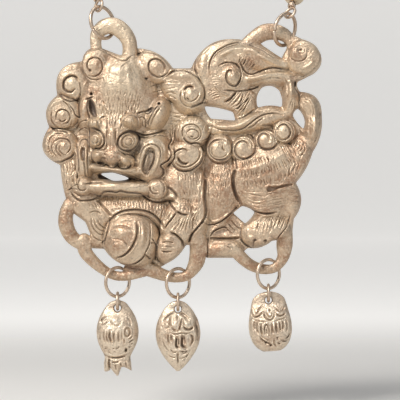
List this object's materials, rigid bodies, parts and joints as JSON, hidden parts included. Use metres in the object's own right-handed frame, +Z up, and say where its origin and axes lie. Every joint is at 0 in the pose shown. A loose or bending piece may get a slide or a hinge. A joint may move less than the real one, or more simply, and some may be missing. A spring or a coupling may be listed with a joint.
{
  "type": "guardian lion pendant necklace",
  "caption": "Long link-chain necklace with a large openwork guardian lion pendant in antiqued silver-tone metal and fruit-shaped drops hanging from jump rings below it.",
  "frame": {"origin": "middle of the clasp at the nape, where the loop rests on the back of the neck", "axes": "+Z up, -Y out from the wearer's chest towards the viewer, +X to the viewer's right"},
  "size_m": [0.1236, 0.1318, 0.2956],
  "materials": {
    "cast_metal": "antiqued cast white metal, bright on the high spots and dark in the recesses",
    "wire_metal": "polished wire, slightly tarnished",
    "bead_metal": "satin, worn gilt"
  },
  "bodies": {
    "neck_loop": {"chain_left": "wire_metal", "chain_right": "wire_metal", "clasp": "wire_metal", "bead_left": "bead_metal", "bead_right": "bead_metal", "bead_wire_left": "wire_metal", "bead_wire_right": "wire_metal"},
    "pendant": {"foo_dog_pendant": "cast_metal", "ring_top_left": "wire_metal", "ring_top_right": "wire_metal", "ring_lower_left": "wire_metal", "ring_lower_middle": "wire_metal", "ring_lower_right": "wire_metal", "connector_left": "wire_metal", "connector_middle": "wire_metal", "connector_right": "wire_metal", "pomegranate_drop": "cast_metal", "peach_drop": "cast_metal", "melon_drop": "cast_metal"}
  },
  "joints": [
    {"name": "pendant_swing", "type": "hinge", "parent": "neck_loop", "child": "pendant", "pos_m": [0.00013, -0.12188, -0.19505], "axis": [-0.9992, 0, 0.039], "range_deg": [-15, 60]}
  ]
}
